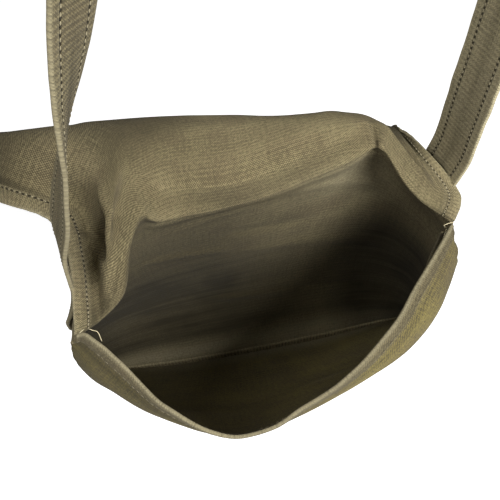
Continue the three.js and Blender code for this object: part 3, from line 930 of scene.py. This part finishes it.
def strap_points(shares, runs):
    """Points of the strap's middle surface, with its bends and ripples."""
    lengths, middles, widths = strap_path()
    centre = spline(lengths, middles, runs)
    wide = unit(spline(lengths, widths, runs))
    out = unit(np.cross(wide, np.gradient(centre, axis=0)))
    held = ramp(np.minimum(runs, lengths[-1] - runs), 0.065, 0.165)
    points = centre[:, None] + wide[:, None] * (shares * STRAP["half"])[None, :, None]
    bow = (1 - np.abs(shares) ** 1.6)[None] * (0.0012 * wander(runs, 0.05, 0.5, 7.7) * held)[:, None]
    ripple = np.array([wander(runs, 0.028, share * 1.3, 3.3) for share in shares]).T
    stitched = near(np.abs(shares) - STITCH_SHARE, 0.12)[None] * held[:, None]
    offset = bow + 0.0005 * ripple * held[:, None]
    edge = 0.0006 * wander(runs, 0.012, 9.1, 0) * held
    points = points + out[:, None] * offset[..., None]
    points = points + wide[:, None] * (edge[:, None] * np.abs(shares) ** 4 * np.sign(shares))[..., None]
    return points, out, stitched


class HAVERSACK_OT_shoulder_strap(bpy.types.Operator):
    """Folded shoulder strap, sewn to the back at both ends"""

    bl_idname = "haversack.shoulder_strap"
    bl_label = "Shoulder strap"

    def execute(self, context):
        sizes, colours = settings()
        lengths, _, _ = strap_path()
        half = (0.3, 0.52, STITCH_SHARE, 0.7, 0.82, 0.93, 1)
        shares = np.array([-share for share in reversed(half)] + [0, *half])
        runs = np.linspace(0, lengths[-1], 300)
        points, _, stitched = strap_points(shares, runs)
        u, v = np.meshgrid(shares * STRAP["half"], runs)
        # right: the right branch, lightened by the first mask as a painted highlight, while the second mask
        # paints shade on the left branch; the strap is also darker along its middle and stitch rows and
        # paler at its edges
        right = ramp(v / lengths[-1], 0.3, 0.7)
        masks = {
            "wear_and_painted_light": (0.10 + 0.45 * right + 0.75 * near(np.abs(u) - STRAP["half"], 0.0022)
                     + 0.25 * near(np.abs(u) - 0.0135, 0.002)),
            "dirt_and_painted_shade": (0.45 * near(u, 0.009) * (0.5 + ripples(shares, runs, 0.09, 2.8)) + 0.12 * stitched
                     + 0.40 * (1 - right)),
        }
        row = STRAP["half"] * STITCH_SHARE
        rows = [(place, sizes.stitch_pitch, 0.0011) for place in (-row, row)]
        material = canvas_material("strap_canvas", sizes, colours, 1.12, 0.4, rows)
        sewn("shoulder_strap", points, (u, v), masks, sizes.strap_thickness, material, "strap_canvas")
        return {"FINISHED"}


# Stitches and loose threads

def stitch_shape():
    """A short thread with rounded ends, modelled once and lying along X."""
    bpy.ops.mesh.primitive_cylinder_add(vertices=6, radius=0.5, depth=1, rotation=(0, math.pi / 2, 0))
    piece = bpy.context.object
    bpy.ops.object.transform_apply(location=False, rotation=True, scale=False)
    bpy.ops.object.mode_set(mode="EDIT")
    bpy.ops.mesh.select_all(action="SELECT")
    bpy.ops.mesh.bevel(offset=0.16, segments=1, affect="EDGES")
    bpy.ops.object.mode_set(mode="OBJECT")
    bpy.ops.object.select_all(action="DESELECT")
    mesh = piece.data
    points = np.array([vertex.co[:] for vertex in mesh.vertices])
    faces = [tuple(face.vertices) for face in mesh.polygons]
    bpy.data.objects.remove(piece)
    bpy.data.meshes.remove(mesh)
    return points, faces


def both_faces(centre, out, run, thickness):
    """Where a stitch lies on each of the cloth's faces."""
    height = thickness / 2 + STITCH_CLEARANCE
    return [(centre + out * height * face, unit(out) * face, run) for face in (1, -1)]


def stitched_row(name, frames, length, radius, material, slot):
    """One row of stitches, each lying along its own place on the cloth."""
    shape, faces = stitch_shape()
    points = []
    polygons = []
    for centre, out, run in frames:
        side = np.cross(out, run)
        start = len(points)
        for x, y, z in shape:
            sunk = abs(x) * 0.35 * radius * 2
            points.append(centre + run * x * length + side * y * radius * 2 + out * (z * radius * 2 - sunk))
        polygons += [tuple(start + k for k in face) for face in faces]
    piece = linked(name, points, polygons)
    for polygon in piece.data.polygons:
        polygon.use_smooth = True
    dressed(piece, material, slot)


class HAVERSACK_OT_stitching(bpy.types.Operator):
    """Rows of stitches along the strap, the flap's hems and the mouth"""

    bl_idname = "haversack.stitching"
    bl_label = "Stitching"

    def execute(self, context):
        sizes, colours = settings()
        material = thread_material("stitch_thread", colours.thread)
        self.strap_rows(sizes, material)
        inset = (sizes.hem_width - ROW_TO_HEM_EDGE) / PANEL_WIDTH
        alongs = np.arange(sizes.stitch_pitch * 0.5, FLAP_LENGTH - 0.006, sizes.stitch_pitch)
        flap = (back_points, back_lift)
        for name, across in (("flap_stitches_left", inset), ("flap_stitches_right", 1 - inset)):
            self.hem_row(name, flap, [(across, along) for along in alongs], 3, 0.0021, 0.0004, material)
        step = sizes.stitch_pitch / PANEL_WIDTH
        along = FLAP_LENGTH - sizes.hem_width + ROW_TO_HEM_EDGE
        places = [(across, along) for across in np.arange(0.012, 0.988, step)]
        self.hem_row("flap_stitches_end", flap, places, 2, 0.0026, 0.0004, material)
        dull = thread_material("mouth_thread", tuple(channel * 0.55 for channel in colours.thread))
        places = [(across, 0.002 - sizes.mouth_hem) for across in np.arange(0.014, 0.986, step)]
        self.hem_row("mouth_stitches", (front_points, front_lift), places, 2, 0.0024, 0.0003, dull)
        return {"FINISHED"}

    def strap_rows(self, sizes, material):
        pitch = sizes.stitch_pitch
        lengths, _, _ = strap_path()
        runs = np.arange(pitch * 1.5, lengths[-1] - pitch, pitch)
        for row, place in (("left", -STITCH_SHARE), ("right", STITCH_SHARE)):
            points, outs, _ = strap_points(np.array((place,)), runs)
            centres = points[:, 0]
            alongs = unit(np.gradient(centres, axis=0))
            frames = []
            for centre, out, along in zip(centres, outs, alongs):
                frames += both_faces(centre, out - along * np.dot(out, along), along, sizes.strap_thickness)
            stitched_row("strap_stitches_" + row, frames, 0.0021, 0.00042, material, "strap_canvas")

    def hem_row(self, name, panel, places, run, length, radius, material):
        """Stitches on a hem. The run is 2 across the panel and 3 along it, as place_on gives them."""
        sizes, _ = settings()
        frames = []
        for across, along in places:
            at = place_on(*panel, across, along)
            frames += both_faces(at[0], at[1], at[run], sizes.hem)
        stitched_row(name, frames, length, radius, material, "worn_canvas")


def thread_tube(name, points, radius, material, slot):
    """A bare thread end along a few given points."""
    knots = np.linspace(0, 1, len(points))
    centres = spline(knots, np.array(points), np.linspace(0, 1, len(points) * 5))
    runs = unit(np.gradient(centres, axis=0))
    side = unit(np.cross(runs, (0.3, -0.5, 0.8)))
    up = np.cross(runs, side)
    ring = 6
    last = len(centres) - 1
    vertices = []
    faces = [tuple(reversed(range(ring))), tuple(last * ring + turn for turn in range(ring))]
    for k, centre in enumerate(centres):
        thin = radius * (0.35 if k in (0, last) else 1.0)
        for turn in range(ring):
            angle = 2 * math.pi * turn / ring
            vertices.append(centre + thin * (math.cos(angle) * side[k] + math.sin(angle) * up[k]))
            if k < last:
                first, second = k * ring + turn, k * ring + (turn + 1) % ring
                faces.append((first, second, second + ring, first + ring))
    piece = linked(name, vertices, faces)
    chosen(piece)
    bpy.ops.object.mode_set(mode="EDIT")
    bpy.ops.mesh.select_all(action="SELECT")
    bpy.ops.mesh.normals_make_consistent(inside=False)
    bpy.ops.object.mode_set(mode="OBJECT")
    bpy.ops.object.shade_smooth()
    piece.select_set(False)
    dressed(piece, material, slot)


# Loose thread ends by the mouth's corners. Each point is a share across the
# front panel, a distance along it and a height off it, both in millimetres.
LOOSE_THREADS = (
    ("left_long", ((0.012, 1, -1.0), (0.026, 1, -4.0), (0.040, -2, -5.5), (0.052, -1, -6.0),
                   (0.070, -5, -5.0))),
    ("left_short", ((0.004, 1, -1.0), (0.012, 3, -4.4), (0.022, 4, -8.0), (0.030, 3, -11.0))),
    ("right_knot", ((0.998, 1, 0.0), (0.990, 2, -2.5), (0.980, 1, -5.2), (0.974, 2, -3.2))),
    ("right_curl", ((0.985, -4, -2.4), (0.975, -9, -5.5), (0.962, -12, -6.6), (0.955, -18, -5.0))),
)


class HAVERSACK_OT_loose_threads(bpy.types.Operator):
    """Loose thread ends at the mouth's corners"""

    bl_idname = "haversack.loose_threads"
    bl_label = "Loose threads"

    def execute(self, context):
        _, colours = settings()
        pale = tuple(min(1.0, channel * 1.9) for channel in colours.thread)
        material = thread_material("loose_thread", pale)
        for name, places in LOOSE_THREADS:
            points = []
            for across, along, height in places:
                centre, out, _, _ = place_on(front_points, front_lift, across, along / 1000)
                points.append(centre + out * height / 1000)
            thread_tube("thread_" + name, points, 0.00028, material, "worn_canvas")
        return {"FINISHED"}


# The camera's place in metres from the middle of the mouth, its turn, tilt and
# roll in degrees, and its lens in millimetres
CAMERA_PLACE = Vector((-0.0836, -0.2047, 0.376))
CAMERA_TURNS = ((-17.2, "Z"), (33.4, "X"), (0.5, "Z"))
CAMERA_LENS = 44.64

# The lights' places from the strap's top and sizes in metres, and their watts
LIGHT_TARGET = Vector((-0.05, 0.0, -0.5))
LIGHTS = (
    ("key_light", (0.40, -1.03, 0.53), 0.6, 41.0),
    ("top_light", (-0.3, 0.1, 1.3), 1.0, 8.0),
    ("left_fill", (-0.95, -0.40, 0.45), 0.8, 8.0),
)
WHITE = (1.0, 1.0, 1.0, 1.0)
SURROUNDING_LIGHT = 0.05
FLOOR_HEIGHT = -1.35
FLOOR_GLOW = 0.75


class HAVERSACK_OT_stage(bpy.types.Operator):
    """Pale floor, soft studio light and the camera"""

    bl_idname = "haversack.stage"
    bl_label = "Stage"

    def execute(self, context):
        self.camera(context)
        self.floor()
        for light in LIGHTS:
            self.light(*light)
        world = bpy.data.worlds.new("studio")
        context.scene.world = world
        world.use_nodes = True
        background = world.node_tree.nodes["Background"]
        background.inputs[0].default_value = WHITE
        background.inputs[1].default_value = SURROUNDING_LIGHT
        context.scene.view_settings.view_transform = "Standard"
        return {"FINISHED"}

    def camera(self, context):
        turn = Matrix.Identity(3)
        for degrees, axis in CAMERA_TURNS:
            turn = turn @ Matrix.Rotation(math.radians(degrees), 3, axis)
        bpy.ops.object.camera_add(location=CAMERA_PLACE - REST, rotation=turn.to_euler())
        camera = bpy.context.object
        camera.name = "camera"
        camera.data.sensor_width = 36.0
        camera.data.lens = CAMERA_LENS
        camera.data.clip_start = 0.01
        context.scene.camera = camera

    def floor(self):
        bpy.ops.mesh.primitive_plane_add(size=14, location=(0, 0, FLOOR_HEIGHT))
        floor = bpy.context.object
        floor.name = "floor"
        shader = Shader("pale_floor")
        for key, value in (("Base Color", (0.9, 0.9, 0.9, 1.0)), ("Roughness", 0.9),
                           ("Emission Color", WHITE), ("Emission Strength", FLOOR_GLOW)):
            shader.surface.inputs[key].default_value = value
        floor.data.materials.append(shader.material)

    def light(self, name, place, size, power):
        turn = (LIGHT_TARGET - Vector(place)).to_track_quat("-Z", "Y")
        bpy.ops.object.light_add(type="AREA", location=place, rotation=turn.to_euler())
        lamp = bpy.context.object
        lamp.name = name
        lamp.data.energy = power
        lamp.data.size = size


class HAVERSACK_OT_declare(bpy.types.Operator):
    """A step that does nothing and leaves every piece as it is."""

    bl_idname = "haversack.declare"
    bl_label = "Declare cloth"

    def execute(self, context):
        return {"FINISHED"}


class HAVERSACK_PT_panel(bpy.types.Panel):
    """The haversack's sizes, colours and steps"""

    bl_label = "Haversack"
    bl_idname = "HAVERSACK_PT_panel"
    bl_space_type = "VIEW_3D"
    bl_region_type = "UI"
    bl_category = "Haversack"

    def draw(self, context):
        for group in settings():
            for key in group.__annotations__:
                self.layout.prop(group, key)
        for operator in STEPS:
            self.layout.operator(operator.bl_idname)


STEPS = (HAVERSACK_OT_front_panel, HAVERSACK_OT_mouth_hem, HAVERSACK_OT_back_and_flap,
         HAVERSACK_OT_flap_hems, HAVERSACK_OT_seams, HAVERSACK_OT_shoulder_strap, HAVERSACK_OT_stitching,
         HAVERSACK_OT_loose_threads, HAVERSACK_OT_declare, HAVERSACK_OT_stage)
CLASSES = (HaversackSizes, HaversackColours, *STEPS, HAVERSACK_PT_panel)


def register():
    for cls in CLASSES:
        bpy.utils.register_class(cls)
    bpy.types.Scene.haversack_sizes = PointerProperty(type=HaversackSizes)
    bpy.types.Scene.haversack_colours = PointerProperty(type=HaversackColours)


def unregister():
    del bpy.types.Scene.haversack_colours
    del bpy.types.Scene.haversack_sizes
    for cls in reversed(CLASSES):
        bpy.utils.unregister_class(cls)


def main():
    register()
    bpy.ops.haversack.front_panel()
    bpy.ops.haversack.mouth_hem()
    bpy.ops.haversack.back_and_flap()
    bpy.ops.haversack.flap_hems()
    bpy.ops.haversack.seams()
    bpy.ops.haversack.shoulder_strap()
    bpy.ops.haversack.stitching()
    bpy.ops.haversack.loose_threads()
    bpy.ops.haversack.declare()
    bpy.ops.haversack.stage()


if __name__ == "__main__":
    main()
